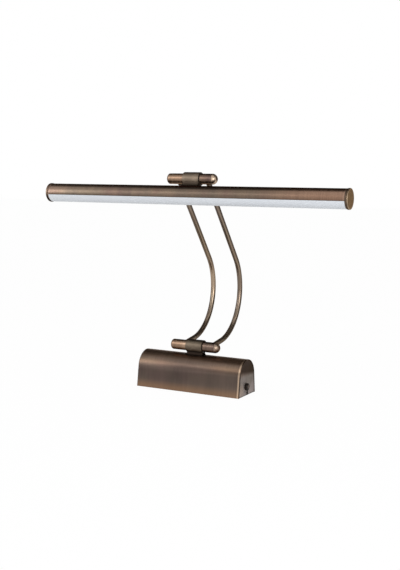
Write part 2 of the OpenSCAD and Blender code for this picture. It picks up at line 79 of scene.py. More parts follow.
# Radii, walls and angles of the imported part, in mm and radians
ARCH_R = 22.7
ARCH_Z = BASE_HEIGHT - ARCH_R
WALL = 1.5
SLEEVE_R = 8.78
SLEEVE_BORE = 7.68
BAR_R = 7.0
BAR_BORE = 5.0
LOW_NECK = 10.7
HIGH_NECK = 11.7
DOME_H = 6.0
BUTTON_LEN = 5.2
BUTTON_H = 2.2
BUTTON_EDGE = 1.8
PLUG = 4.0
ROD_R = 3.5
BEND_R = 67.0
LOW_RUN = math.radians(8.0)
TOP_RUN = math.radians(40.2)
HEAD_LEAN = math.radians(28.1)
TUBE_AXIS = (-28.1, 259.75)
TUBE_R = 12.5
TUBE_WALL = 1.5
TUBE_LIP_R = 0.25
OPEN_HALF = math.radians(50.5)
OPAL_HALF = math.radians(49.7)
OPAL_IN = 9.9
OPAL_EDGE_R = 0.5
CAP_R = 13.0
SPIGOT_R = 9.55
GASKET_R = 12.1
GASKET_BORE = 9.58
SWITCH_HOLE_R = 3.03
KNOB_R = 4.75
SHAFT_R = 2.0

# Camera of the photograph, fitted to its edges: place in metres, angles in degrees, lens in mm
CAMERA_PLACE = (0.567592, -1.092933, 0.271857)
CAMERA_BEARING, CAMERA_PITCH, CAMERA_ROLL = 27.263, 6.078, 0.96
CAMERA_LENS, CAMERA_SENSOR = 58.61, 36.0


def photo_camera():
    """Camera at its place, looking along its bearing and pitch, and rolled about the line of sight."""
    a, e, r = (math.radians(w) for w in (CAMERA_BEARING, CAMERA_PITCH, CAMERA_ROLL))
    ahead = Vector((-math.sin(a) * math.cos(e), math.cos(a) * math.cos(e), -math.sin(e)))
    side = Vector((math.cos(a), math.sin(a), 0.0))
    top = side.cross(ahead)
    right = side * math.cos(r) + top * math.sin(r)
    up = top * math.cos(r) - side * math.sin(r)
    data = bpy.data.cameras.new("photo_camera")
    data.lens = CAMERA_LENS
    data.sensor_width = CAMERA_SENSOR
    data.clip_start = 0.01
    data.clip_end = 50.0
    camera = bpy.data.objects.new("photo_camera", data)
    place = Matrix((right, up, -ahead)).transposed().to_4x4()
    place.translation = CAMERA_PLACE
    camera.matrix_world = place
    bpy.context.scene.collection.objects.link(camera)
    bpy.context.scene.camera = camera


photo_camera()

# A surface as a grid of points in mm, with its finish at each point, as shares from 0 to 1: the share of
# wear and painted highlight is worn through to bright metal or painted light, the share of painted shade and
# patina is painted shade or a darkened seam, and warm is warm-toned, in places as painted light.
# A looping side is joined to its start.
# lay is the place of each point in the finish's pattern, where the pattern follows the surface.
Grid = namedtuple("Grid", "points rub soot warm loop_rows loop_columns lay",
                  defaults=(0.0, 0.0, 0.0, False, True, None))


# Shares of finish
def ease(lo, hi, v):
    """Smooth step: 0 at lo, 1 at hi, with level ends."""
    t = np.clip((np.asarray(v, float) - lo) / (hi - lo), 0.0, 1.0)
    return t * t * (3.0 - 2.0 * t)


def bell(v, middle, width):
    """Bell curve: 1 at the middle, 0.37 at a width to either side."""
    return np.exp(-((v - middle) / width) ** 2)


def most(*shares):
    """The largest of several shares of finish, point by point."""
    return reduce(np.maximum, shares)


# Meshes from grids of points
def joined_grids(name, grids):
    """One mesh from several grids of points.

    Neighbouring points of a grid make a four-sided face, and a grid whose signed volume comes out negative
    has its faces turned round, so that they point outwards. The shares of wear and painted highlight, of
    painted shade and patina, and of warm tone are kept as attributes of the points, and so is lay. Points
    closer than merge are joined, and edges that bend more than crease stay sharp.
    """
    merge, crease = 0.002 * MM, math.radians(40)
    points, faces, marks, lays, start = [], [], [], [], 0
    for grid in grids:
        n, m = grid.points.shape[:2]
        rows = np.arange(n if grid.loop_rows else n - 1)
        columns = np.arange(m if grid.loop_columns else m - 1)
        i, j = np.meshgrid(rows, columns, indexing="ij")
        i_next, j_next = (i + 1) % n, (j + 1) % m
        corners = [i * m + j, i_next * m + j, i_next * m + j_next, i * m + j_next]
        quads = np.stack(corners, -1).reshape(-1, 4)
        flat = grid.points.reshape(-1, 3)
        a, b, c, d = (flat[quads[:, q]] - flat.mean(0) for q in range(4))
        volume = (np.cross(a, b) * c).sum() + (np.cross(a, c) * d).sum()
        faces.append((quads if volume > 0 else quads[:, ::-1]) + start)
        points.append(flat * MM)
        lays.append((grid.points if grid.lay is None else grid.lay).reshape(-1, 3) * MM)
        marks.append([np.broadcast_to(w, (n, m)).ravel() for w in (grid.rub, grid.soot, grid.warm)])
        start += n * m
    mesh = bpy.data.meshes.new(name)
    mesh.from_pydata(np.concatenate(points).tolist(), [], np.concatenate(faces).tolist())
    for word, parts in zip(("rub", "soot", "warm"), zip(*marks)):
        value = np.concatenate(parts).astype(np.float32)
        mesh.attributes.new(word, "FLOAT", "POINT").data.foreach_set("value", value)
    lay = np.concatenate(lays).astype(np.float32)
    mesh.attributes.new("lay", "FLOAT_VECTOR", "POINT").data.foreach_set("vector", lay.ravel())
    shape = bmesh.new()
    shape.from_mesh(mesh)
    bmesh.ops.remove_doubles(shape, verts=shape.verts, dist=merge)
    shape.to_mesh(mesh)
    shape.free()
    mesh.polygons.foreach_set("use_smooth", np.ones(len(mesh.polygons), bool))
    mesh.set_sharp_from_angle(angle=crease)
    return mesh


def piece(name, grids, material, body, node):
    """A finished piece: its mesh, its material, the body it rides on and the CAD node it stands for."""
    made = bpy.data.objects.new(name, joined_grids(name, grids))
    made.data.materials.append(material)
    bpy.context.scene.collection.objects.link(made)
    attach(made, body)
    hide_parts(node)


def round_angles(count):
    """Evenly spread angles of a full circle."""
    return np.linspace(0.0, 2 * math.pi, count, endpoint=False)


def rounded_steps(x0, r0, x1, r1, radius, steps):
    """Quarter circle from a line along x at height r0 to a line along r at place x1, as (x, r) points.

    The first line comes from the side of x0, and the second goes off to the side of r1.
    """
    t = np.linspace(0.0, math.pi / 2, steps)
    sx, sr = math.copysign(1.0, x1 - x0), math.copysign(1.0, r1 - r0)
    return np.stack([x1 - sx * radius * (1 - np.sin(t)), r0 + sr * radius * (1 - np.cos(t))], -1)


def mirrored(right):
    """Closed profile from its right half: the half, then its mirror image run back to the start.

    A point at x = 0 is taken once.
    """
    left = (right * np.array([-1.0, 1.0]))[::-1]
    return np.concatenate([right, left[left[:, 0] != 0]])


def turned(profile, axis, around):
    """Surface of revolution: each (x, r) of the profile carried round the line along X through axis."""
    t = round_angles(around)
    x, r = profile[:, 0, None], profile[:, 1, None]
    return np.stack([x + 0 * t, axis[0] + r * np.cos(t), axis[1] + r * np.sin(t)], -1)


def doubled_ends(rows):
    """Rows with the first and the last one given twice, for the rings that close a long piece's ends."""
    return np.concatenate([rows[:1], rows, rows[-1:]])


# Base housing, whose sides lean so that they run from the foot's corner into the arch's circle
LEAN = math.acos(ARCH_R / math.hypot(BASE_WIDTH / 2, ARCH_Z)) - math.atan2(ARCH_Z, BASE_WIDTH / 2)


def arch_line(inset, floor):
    """Arch outline moved inwards by inset: up one leaning side, over the round top and down the other side.

    A side point is the tangent point minus a share of the way down to height floor along the lean, and a
    top point is the arch centre plus its radius times (cos, sin). inset and floor may be arrays.
    """
    side_steps, top_steps = 10, 57
    inset, floor = np.broadcast_arrays(np.asarray(inset, float), np.asarray(floor, float))
    radius = ARCH_R - inset[..., None]
    t = np.linspace(LEAN, math.pi - LEAN, top_steps)
    top = np.stack([radius * np.cos(t), ARCH_Z + radius * np.sin(t)], -1)
    touch_y, touch_z = radius * math.cos(LEAN), ARCH_Z + radius * math.sin(LEAN)
    down = np.linspace(1.0, 0.0, side_steps, endpoint=False) ** 1.5 * (touch_z - floor[..., None])
    side = np.stack([touch_y + down * math.tan(LEAN), touch_z - down], -1)
    other = side[..., ::-1, :] * np.array([-1.0, 1.0])
    return np.concatenate([side, top, other], -2)


def cover_grid():
    """Bent sheet cover: a thin rectangle with rounded corners, carried along the arch outline.

    The rectangle lies in (x, inset), so each of its points follows the outline with that inset. The two
    foot edges close on the middle of the sheet. Its points stand closer where the tones change.
    """
    outer_r, inner_r, foot_in = 0.6, 0.4, 0.3
    along = np.array([0, 14, 28, 42, 54, 63, 68, 71, 72.6, 73.6, 74.3, 74.8, 75.2, 75.5, 75.8])
    outside = np.stack([along, 0 * along], -1)
    inside = np.stack([along, 0 * along + WALL], -1)
    edge_out = rounded_steps(0, 0, BASE_HALF, WALL, outer_r, 6)
    edge_in = rounded_steps(0, WALL, BASE_HALF, 0, inner_r, 6)
    loop = mirrored(np.concatenate([outside, edge_out, edge_in[::-1], inside[::-1]]))
    line = arch_line(loop[:, 1], 0.0)
    middle = arch_line(np.full(len(loop), WALL / 2), 0.0)
    loop_x = np.broadcast_to(loop[:, 0, None], line.shape[:2])
    sheet = np.stack([loop_x, line[..., 0], line[..., 1]], -1)
    foot_x = np.clip(loop[:, 0], foot_in - BASE_HALF, BASE_HALF - foot_in)
    feet = [np.stack([foot_x, middle[:, q, 0], middle[:, q, 1]], -1)[:, None] for q in (0, -1)]
    p = np.concatenate([feet[0], sheet, feet[1]], 1)

    x, z, reach = p[..., 0], p[..., 2], np.abs(p[..., 0])
    edge_band = ease(72.8, 74.0, reach) * ease(75.7, 74.9, reach) * ease(47.4, 44, z)
    shoulder = 0.075 + 0.05 * ease(-40, -56, x) * ease(-80, -66, x) + 0.07 * ease(15, 45, x)
    rub = most(0.8 * (x > 0) * edge_band,  # painted highlight on the rounded edge round the right end
               shoulder * bell(z, 38.8, 3.0),  # painted highlight along the shoulder
               0.09 * bell(z, 43.7, 1.8) * ease(10, -30, x),  # faint painted highlight above it, on the left
               0.06 * ease(45, 70, x) * ease(20, 5, z),  # painted light on the right end near the foot
               0.035 * ease(10, 40, x) * ease(44.0, 46.0, z))  # painted sheen on the right half of the crown
    fall = 28 + 3.5 * ease(-20, 60, x)
    front = ease(fall, fall - 5, z) * ease(1, 18, z)
    soot = most(0.35 * bell(x, 0, 22) * ease(43, 47, z),  # painted shade on the crown round the neck
                0.8 * np.exp(-(x / 27) ** 6) * ease(46.4, 47.3, z),  # painted shadow of the bar on the crown
                0.7 * ease(75.6, 76.1, reach),  # cut edges of the sheet, darkened with painted shade
                0.28 * front * (1 - 0.45 * ease(25, 65, x)),  # painted shade on the flat front
                0.54 * bell(z, 32.2, 3.0) * ease(-80, 10, x),  # painted shade below the shoulder highlight
                0.18 * bell(z, 43, 1.3) * ease(15, 45, x))  # painted shade above it, on the right
    # Warm share of the painted shoulder highlight, larger towards both ends
    shoulder_warmth = 0.1 + 0.2 * ease(-10, -50, x) + 0.3 * ease(20, 50, x)
    warm = most(0.65 * ease(13, 2, z),  # foot, warmer as a painted reflection
                0.4 * ease(38, 44, z),  # crown
                shoulder_warmth * bell(z, 35.5, 4.5))  # painted highlight on the shoulder, warmer towards both ends
    return Grid(p, rub, soot, warm, loop_rows=True, loop_columns=False)


def plate_grid(side, hole):
    """End plate: rings that run from the arch outline in to a round hole about the switch axis.

    A ring at share t is (1 - t) outline + t circle, at x in the plate's thickness; a hole of radius 0 is
    a plain closed face.
    """
    edge_r, fit = 0.4, WALL + 0.03
    edge = rounded_steps(PLATE_IN, 0, PLATE_OUT, 1, edge_r, 5)
    shares = np.concatenate([[0.012, 0.025, 0.05], np.linspace(0.08, 1.0, 24)])
    x = np.concatenate([[PLATE_IN] * 4, edge[:, 0], [PLATE_OUT] * len(shares)])
    inset = np.concatenate([[edge_r, edge_r, edge_r / 2, 0.0], edge[:, 1], [edge_r] * len(shares)])
    t = np.concatenate([[1.0, 0.3, 0.0, 0.0], 0 * edge[:, 0], shares])
    line = arch_line(fit + inset, inset)
    foot = line[:, -1:] + (line[:, :1] - line[:, -1:]) * np.linspace(0, 1, 26)[None, 1:-1, None]
    line = np.concatenate([line, foot], 1)
    turn = np.arctan2(line[..., 1] - KNOB_AXIS[1], line[..., 0] - KNOB_AXIS[0])
    circle = KNOB_AXIS + hole * np.stack([np.cos(turn), np.sin(turn)], -1)
    flat = (1 - t)[:, None, None] * line + t[:, None, None] * circle
    p = np.concatenate([np.broadcast_to((side * x)[:, None, None], flat.shape[:2] + (1,)), flat], -1)

    y, z = p[..., 1], p[..., 2]
    gap = 1 - ease(0.0, 0.05, t)[:, None]
    # Painted light low on the front half
    rub = 0.25 * ease(-4, -18, y) * ease(20, 10, z)
    soot = most((0.3 + 0.4 * ease(16, 26, z)) * gap,  # painted shade in the gap to the cover
                0.77 * ease(24.5, 32, z + 0.12 * y),  # painted dark reflection on the upper half
                0.75 * ease(1.9, 0.6, z),  # painted contact shadow along the foot
                0.1 * ease(2, 18, y))  # painted shade on the back half
    # The upper half is warmer, as the tint of its painted dark reflection
    return Grid(p, rub, soot, 0.45 * ease(23.5, 31, z), loop_rows=True)


# Pivots
def sleeve_grid(axis, dim, lit):
    """Knuckle sleeve: a tube section with rounded lips turned about the bar axis.

    Lips, top and underside get painted shade, and dim paints shade over it all; lit spares the underside
    and paints light on it.
    """
    outer_r, bore_r = 0.45, 0.2
    right = np.concatenate([[[w, SLEEVE_R] for w in (0, 6, 9, 11)],
                            rounded_steps(0, SLEEVE_R, SLEEVE_HALF, 0, outer_r, 6),
                            rounded_steps(0, SLEEVE_BORE, SLEEVE_HALF, SLEEVE_R, bore_r, 4)[::-1],
                            [[w, SLEEVE_BORE] for w in (11, 6)]])
    p = turned(mirrored(right), axis, 96)

    reach, rise = np.abs(p[..., 0]), p[..., 2] - axis[1]
    # Painted light under the sleeve where lit; painted shade at the lips, on top and underneath
    rub = 0.16 * lit * bell(rise, -5.2, 1.8)
    soot = most(0.6 * ease(SLEEVE_HALF - 0.5, SLEEVE_HALF - 0.1, reach),
                0.55 * ease(6.8, 8.4, rise),
                (0.9 - 0.6 * lit) * ease(-4.5 - 2.7 * lit, -8.6, rise))
    return Grid(p, rub, dim + (1 - dim) * soot, loop_rows=True)


def neck_grid(axis, rise, seat_r, tilt, lit):
    """Knuckle neck: a rounded rectangle carried down from the sleeve's wall to a curved seat.

    Its half width starts on a fillet that is tangent to the sleeve, with its centre at (half + fillet,
    turn_in) from the bar axis, and ends in a flare that grows towards the foot. The top closes along a
    circle inside the sleeve's wall, the foot along the seat's circle, and tilt turns the neck about the
    bar. Its colour is painted nearly black as shade, a little less so where lit is 1.
    """
    half, half_len, fillet, hidden = 5.0, 11.9, 1.5, SLEEVE_R - 0.6
    flare_y, flare_x, flare_fall, seat_half = 2.0, 0.9, 0.7, 7.6
    turn_in = math.sqrt((SLEEVE_R + fillet) ** 2 - (half + fillet) ** 2)
    u = np.linspace(math.acos((half + fillet) / (SLEEVE_R + fillet)), 0.0, 7)
    wide, deep = half + fillet * (1 - np.cos(u)), turn_in - fillet * np.sin(u)
    sink = hidden / SLEEVE_R
    straight = np.linspace(turn_in, rise, 12)[1:]
    depth = np.concatenate([[sink * deep[0]], deep, straight])
    foot = np.exp(-(rise - depth) / flare_fall)
    half_y = np.concatenate([[sink * wide[0]], wide, np.full(len(straight), half)]) + flare_y * foot
    half_x = half_len + flare_x * foot
    t = round_angles(96)
    corner = (np.abs(np.cos(t)) ** 10 + np.abs(np.sin(t)) ** 10) ** -0.1
    close = np.concatenate([[0.0, 0.4, 0.75], np.ones(len(depth)), [0.75, 0.4, 0.0]])
    row = np.concatenate([[0] * 3, np.arange(len(depth)), [len(depth) - 1] * 3])
    low = np.concatenate([[0.0] * 3, depth, [rise] * 3])
    x = (close * half_x[row])[:, None] * (np.cos(t) * corner)
    y = (close * half_y[row])[:, None] * (np.sin(t) * corner)
    seat = seat_r - np.sqrt(seat_r ** 2 - np.clip(y, -seat_half, seat_half) ** 2)
    top = np.sqrt(hidden ** 2 - np.clip(y, -hidden, hidden) ** 2)
    z = -np.maximum(low[:, None], top) - seat * ease(turn_in, rise, low)[:, None]
    c, s = math.cos(tilt), math.sin(tilt)
    p = np.stack([x, axis[0] + y * c + z * s, axis[1] - y * s + z * c], -1)
    # Painted shade: the neck is nearly black, a little less where lit
    soot = 0.9 - 0.22 * lit + 0.08 * ease(0.55, 1.0, low / rise)
    return Grid(p, soot=soot[:, None])


def bar_grid(axis, shade, lit):
    """Cross bar: a tube section with broken edges turned about its own axis.

    Its left half is warmer and paler, as painted light from the left; shade paints shade on its right half,
    and lit paints light along its lower third.
    """
    along, broken_r = (0, 8, 11.4, 12.2, 13.2, 15, 18, 21, 24, 27, 28.8), 0.22
    right = np.concatenate([[[w, BAR_R] for w in along],
                            rounded_steps(0, BAR_R, BAR_HALF, 0, broken_r, 4),
                            [[BAR_HALF, BAR_BORE], [0, BAR_BORE]]])
    p = turned(mirrored(right), axis, 80)

    x, reach, rise = p[..., 0], np.abs(p[..., 0]), p[..., 2] - axis[1]
    # Painted light along the lower third where lit
    rub = most(0.4 * lit * bell(rise, -4.8, 1.7),
               0.1 * (1 - lit) * ease(-22, -15, x) * ease(0, -8, x))  # painted highlight on the lower bar, left of the sleeve
    soot = most(0.2 * ease(13.2, 12.0, reach),  # painted shade beside the sleeve
                0.72 * ease(5.6, 6.9, rise),  # painted shade on top
                0.6 * ease(-6.1, -6.95, rise),  # painted shade underneath
                # painted shade on the right half
                shade * ease(0, 12, x),
                0.6 * ease(BAR_HALF - 0.3, BAR_HALF, reach))  # seams to the bar's ends
    # Warmer, paler left half: painted light from the left
    return Grid(p, rub, soot, ease(10, -20, x), loop_rows=True)


def bar_end_grid(axis, side, straight, rise, edge, wear_and_light):
    """Bar end with a plug: a straight part, a rounded edge and a cap of a sphere, turned about the bar.

    The sphere has the radius (r^2 + rise^2) / (2 rise). Where edge is not 0, the sharp rim between the
    straight part and the sphere is replaced by a quadratic curve that leaves both edge mm from the rim.
    worn paints a highlight all round its middle.
    """
    ball = (BAR_R ** 2 + rise ** 2) / (2 * rise)
    half = math.asin(BAR_R / ball)
    t = np.linspace(0.0, half - (edge + 0.2) / ball, 20)
    rim = np.array([BAR_HALF + straight, BAR_R])
    dome = np.stack([rim[0] + rise - ball + ball * np.cos(t), ball * np.sin(t)], -1)
    u = np.linspace(0, 1, 9)[1:, None]
    down = np.array([max(rim[0] - edge, BAR_HALF + 0.05), BAR_R - 0.02])
    bent = (1 - u) ** 2 * dome[-1] + 2 * u * (1 - u) * rim + u ** 2 * down
    plug_r, plug_in = BAR_BORE - 0.03, BAR_HALF - PLUG
    seam = np.array([[BAR_HALF + 0.04, BAR_R - 0.1], [BAR_HALF, BAR_R - 0.3], [BAR_HALF, plug_r]])
    plug = np.array([[plug_in + 0.2, plug_r], [plug_in, plug_r - 0.27], [plug_in, 0]])
    profile = np.concatenate([dome, bent, seam, plug])
    p = turned(profile * np.array([side, 1.0]), axis, 80)

    x, r = profile[:, 0, None], profile[:, 1, None]
    right = 1.0 if side > 0 else 0.0
    soot = 0.5 * right * ease(BAR_HALF + 0.3, BAR_HALF, x)
    # The left button is warmer, like the bar's painted light from the left
    return Grid(p, wear_and_light * ease(1.5, 3.8, r), soot, 1.0 - 0.85 * right)


# Arms
def arm_line():
    """Middle line of an arm in (y, z), with its direction, the length to each point and the whole length.

    It is a lower straight run, a bend and an upper straight run. The two run lines meet at a corner, the
    bend takes radius x tan(half the turn) off each, and the direction turns evenly from the lower run's
    angle to the upper run's. The points stand closer at both ends, where the arm is brazed into the bars.
    """
    low = np.array([math.cos(LOW_RUN), math.sin(LOW_RUN)])
    top = np.array([-math.sin(TOP_RUN), math.cos(TOP_RUN)])
    gap = HIGH_BAR - LOW_BAR
    turn = math.pi / 2 + TOP_RUN - LOW_RUN
    take = BEND_R * math.tan(turn / 2)
    cross = low[0] * top[1] - low[1] * top[0]
    low_len = (gap[0] * top[1] - gap[1] * top[0]) / cross - take
    top_len = (low[0] * gap[1] - low[1] * gap[0]) / cross - take
    bend_len = BEND_R * turn
    total = low_len + bend_len + top_len
    near = np.concatenate([np.linspace(4.2, 7.0, 4), np.linspace(7.2, 11, 12)])
    s = np.concatenate([near, np.linspace(13, total - 13, 150), total - near[::-1]])
    a = LOW_RUN + np.clip((s - low_len) / BEND_R, 0, turn)
    centre = LOW_BAR + low_len * low + BEND_R * np.array([-low[1], low[0]])
    on_bend = centre + BEND_R * np.stack([np.sin(a), -np.cos(a)], -1)
    on_low = LOW_BAR + s[:, None] * low
    past_bend = np.maximum(s - low_len - bend_len, 0)
    line = np.where((s < low_len)[:, None], on_low, on_bend + past_bend[:, None] * top)
    return line, a, s, total


def arm_grid(x0, wear_and_light, tone):
    """Arm tube: a circle carried along the arm's line, a little wider where it is brazed into each bar.

    Its finish is laid out as (length along the arm, across, across), so that draw lines follow the bend,
    and starts at another length on each arm. A painted highlight runs along its front, 55 degrees round from
    +X, and its two sides get painted shade; worn paints light on the bend, and tone warms the middle of the
    arm as painted light.
    """
    line, a, s, total = arm_line()
    near = np.minimum(s, total - s)
    flare = 0.35 * np.exp(-np.clip(near - BAR_R, 0, None) / 0.8) * (near > 6.5)
    r = np.concatenate([[0.0], ROD_R + flare, [0.0]])[:, None]
    line, a, s, near = (doubled_ends(w) for w in (line, a, s, near))
    t = round_angles(40)
    x = x0 + r * np.cos(t)
    side = r * np.sin(t)
    p = np.stack([x, line[:, :1] - side * np.sin(a)[:, None], line[:, 1:] + side * np.cos(a)[:, None]], -1)
    lay = np.stack([s[:, None] + 9 * x0 + 0 * x, x, side], -1)

    z = p[..., 2]
    bent = ease(108, 132, z) * ease(174, 148, z)
    off = (np.degrees(t) - 55 + 180) % 360 - 180
    stripe = bell(off, 0, 22)
    flank = np.exp(-(off / 95) ** 4) - stripe
    rub = most(wear_and_light * most(bent, 0.3 * ease(205, 240, z)) * (0.6 + 0.4 * stripe),  # painted light on the bend and upper run
               0.42 * stripe * (1 - 0.6 * ease(165, 140, z) * ease(105, 120, z)),  # painted highlight along the front
               (0.3 + 0.4 * stripe) * ease(125, 80, z))  # painted light on the lower run
    soot = most(0.45 * ease(11, 7.5, near)[:, None],  # painted shade near both bars
                0.6 * ease(256, 268, z),  # painted shadow of the lamp
                0.7 * ease(0.3, -0.5, np.sin(t)) * ease(92, 72, z),  # painted shade under the lower run
                0.5 * flank * ease(70, 130, z) * (1 - max(wear_and_light, 0.7) * bent))  # painted shade on both sides
    # Warmer middle, more on the left arm: painted light from the left
    warm = tone * ease(90, 150, z) * ease(250, 190, z)
    return Grid(p, rub, soot, warm, lay=lay)


# Lamp head
def about_tube(radius, angle):
    """Point of the lamp's round section: angle 0 looks out of the light opening, in (y, z)."""
    way = angle + HEAD_LEAN
    return np.stack([TUBE_AXIS[0] - radius * np.sin(way), TUBE_AXIS[1] - radius * np.cos(way)], -1)


def strip_loop(outer, inner, a0, a1, corner, count, inset):
    """Section of a curved strip in (radius, angle): out along one arc and back along the other.

    It is moved inwards by inset, and its four corners are quarter circles of radius corner.
    """
    t = np.linspace(0, math.pi / 2, 5)
    lo, hi = a0 + inset / outer, a1 - inset / outer
    out_r, in_r = outer - inset, inner + inset
    corner_r = out_r - corner * (1 - np.sin(t))
    corner_a = corner * (1 - np.cos(t)) / out_r
    free = 1.6 * corner / out_r
    along = np.concatenate([corner_r, np.full(count, out_r), corner_r[::-1]])
    angle = np.concatenate([lo + corner_a[::-1], np.linspace(lo + free, hi - free, count), hi - corner_a])
    back = in_r + (out_r - along)
    return np.concatenate([along, back[::-1]]), np.concatenate([angle, angle[::-1]])


def strip_grid(outer, inner, a0, a1, corner, count):
    """Long curved strip: its section carried along the lamp, closing on the section's middle at both ends.

    The last two sections at each end are inset a little, which rounds the end's edges.
    """
    near_end = TUBE_HALF - np.array([1.0, 0.35, 0.12, 0.0])
    right = np.concatenate([[0, 30, 60, 90, 120, 150, 175, 192, 203, 208, 211], near_end])
    inset = np.zeros(len(right))
    inset[-2:] = 0.08, 0.3
    x = np.concatenate([-right[::-1], right[1:]])
    inset = np.concatenate([inset[::-1], inset[1:]])
    sections = [strip_loop(outer, inner, a0, a1, corner, count, w) for w in inset]
    radius, angle = (np.stack(w) for w in zip(*sections))
    middle = np.full_like(radius[:1], (outer + inner) / 2)
    radius = np.concatenate([middle, radius, middle])
    angle = doubled_ends(angle)
    x = np.broadcast_to(doubled_ends(x)[:, None, None], radius.shape + (1,))
    return np.concatenate([x, about_tube(radius, angle)], -1), angle


def tube_grid():
    """Lamp tube: a round strip that leaves the light opening free.

    Its tones, painted shade and painted highlights, run along the lamp in bands by lift, the height over
    the tube's axis.
    """
    p, angle = strip_grid(TUBE_R, TUBE_R - TUBE_WALL, OPEN_HALF, 2 * math.pi - OPEN_HALF, TUBE_LIP_R, 90)

    x, lift = p[..., 0], p[..., 2] - TUBE_AXIS[1]
    from_lip = np.minimum(angle, 2 * math.pi - angle) - OPEN_HALF
    belly = bell(lift, 2.4, 2.6) * ease(-225, -90, x) * (1 - 0.75 * ease(40, 150, x))
    rim = 8.4 - 1.6 * bell(x, 20, 100)
    soot = most(0.6 * ease(0.07, 0.0, from_lip),  # painted shade at the lips of the opening
                0.43 * belly,  # painted shade over the middle of the front
                0.47 * ease(rim, rim + 1.5, lift) * ease(-110, -20, x),  # painted shade on top
                0.15 * ease(0.8, -0.6, lift) * ease(0.35, 0.25, from_lip))  # painted shade just over the opening
    # Painted highlight in a band above the middle of the front, and on the left end
    brow = bell(lift, 7.2, 2.2 + 0.6 * ease(90, 170, x))
    brow_highlight = 0.03 + 0.12 * ease(-90, -150, x) + 0.17 * ease(110, 205, x)
    left_end = 0.14 * ease(-150, -211, x) ** 1.5
    rub = most(left_end * (0.7 + 0.6 * brow) + brow_highlight * brow,
               0.3 * ease(211.8, 213.2, np.abs(x)))  # edge wear and painted highlight at both ends
    return Grid(p, rub, soot, ease(60, 190, x))


def opal_grid():
    """Diffuser: the strip of the same circle that fills the light opening, with a small gap to each lip."""
    return Grid(strip_grid(TUBE_R, OPAL_IN, -OPAL_HALF, OPAL_HALF, OPAL_EDGE_R, 40)[0])


def end_cap_grid(side):
    """Lamp end cap: disc with a rounded rim, a finely turned face and a spigot, turned about the tube axis.

    Its finish is laid out by the distance from the axis, so that the turning marks are rings. The right cap
    has a painted highlight on its rim and painted shade on its wall; the left one gets more painted shade
    low down and hardly any highlight.
    """
    inner, outer, back_r, rim_r = GASKET_OUT, CAP_OUT, 0.3, 0.75
    spigot = np.array([[SPIGOT_IN, 0], [SPIGOT_IN, SPIGOT_R], [inner, SPIGOT_R]])
    back = rounded_steps(outer, CAP_R, inner, 0, back_r, 4)[::-1]
    rim = rounded_steps(inner, CAP_R, outer, 0, rim_r, 7)
    face = np.array([[outer, w] for w in (11.9, 11.5, 10, 8, 6, 4, 2, 0)])
    profile = np.concatenate([spigot, back, [[inner + 1.2, CAP_R]], rim, face]) * np.array([side, 1.0])
    p = turned(profile, TUBE_AXIS, 96)
    y, z = p[..., 1] - TUBE_AXIS[0], p[..., 2] - TUBE_AXIS[1]
    lay = np.stack([np.hypot(y, z), 0.15 * y, 0.15 * z], -1)

    # Strength of the painted rim highlight, of painted shade low on the wall and over the whole wall, and
    # warm tone of the wall
    wear_and_light, low_shade, wall_shade, wall_warm = (1.0, 0.65, 0.6, 0.3) if side > 0 else (0.1, 0.94, 0.0, 0.0)
    before_rim = len(profile) - len(rim) - len(face)
    rim_highlight = [0.05, 0.25, 0.6, 1.0, 1.0, 0.7, 0.45]
    face_highlight = [0.3, 0.1, 0, 0, 0, 0, 0, 0]
    rub = wear_and_light * np.concatenate([np.zeros(before_rim), rim_highlight, face_highlight])[:, None]
    wall = np.concatenate([np.ones(before_rim), np.linspace(1, 0, len(rim)), 0 * face[:, 1]])[:, None]
    soot = most(low_shade * wall * ease(-1.0, -5.5, z), wall_shade * wall ** 4)
    return Grid(p, rub, soot, 1.0 - (1.0 - wall_warm) * wall, lay=lay)


def gasket_grid(side):
    """End gasket: flat ring with rounded edges between tube and cap; the left one has a painted highlight.
    """
    edge_r = 0.3
    outer = np.concatenate([rounded_steps(GASKET_OUT, GASKET_R, TUBE_HALF, 0, edge_r, 4)[::-1],
                            rounded_steps(TUBE_HALF, GASKET_R, GASKET_OUT, 0, edge_r, 4)])
    bore = [[GASKET_OUT, GASKET_BORE], [TUBE_HALF, GASKET_BORE]]
    profile = np.concatenate([outer, bore]) * np.array([side, 1.0])
    return Grid(turned(profile, TUBE_AXIS, 96), 0.0 if side > 0 else 1.0, loop_rows=True)


# Switch
def knob_grid():
    """Switch knob: turned cap with a well rounded rim and a shallow dished face, on its shaft."""
    back, well_in, shaft_in, skirt_bore, rim_r, skirt_r = 76.4, 78.4, 67.0, 4.05, 1.9, 0.5
    face = np.array([[KNOB_OUT - 0.2, 0], [KNOB_OUT - 0.2, 1.6], [KNOB_OUT - 0.1, 2.4]])
    rim = rounded_steps(back, KNOB_R, KNOB_OUT, 0, rim_r, 10)[::-1]
    skirt = rounded_steps(KNOB_OUT, KNOB_R, back, 0, skirt_r, 5)
    well = np.array([[back, skirt_bore], [well_in - 0.05, skirt_bore], [well_in, SHAFT_R]])
    shaft = np.array([[shaft_in, SHAFT_R], [shaft_in, 0]])
    profile = np.concatenate([face, rim, skirt, well, shaft])
    grey_face = np.zeros(len(profile))
    grey_face[:3] = 1.0, 0.95, 0.7
    return Grid(turned(profile, KNOB_AXIS, 64), grey_face[:, None])


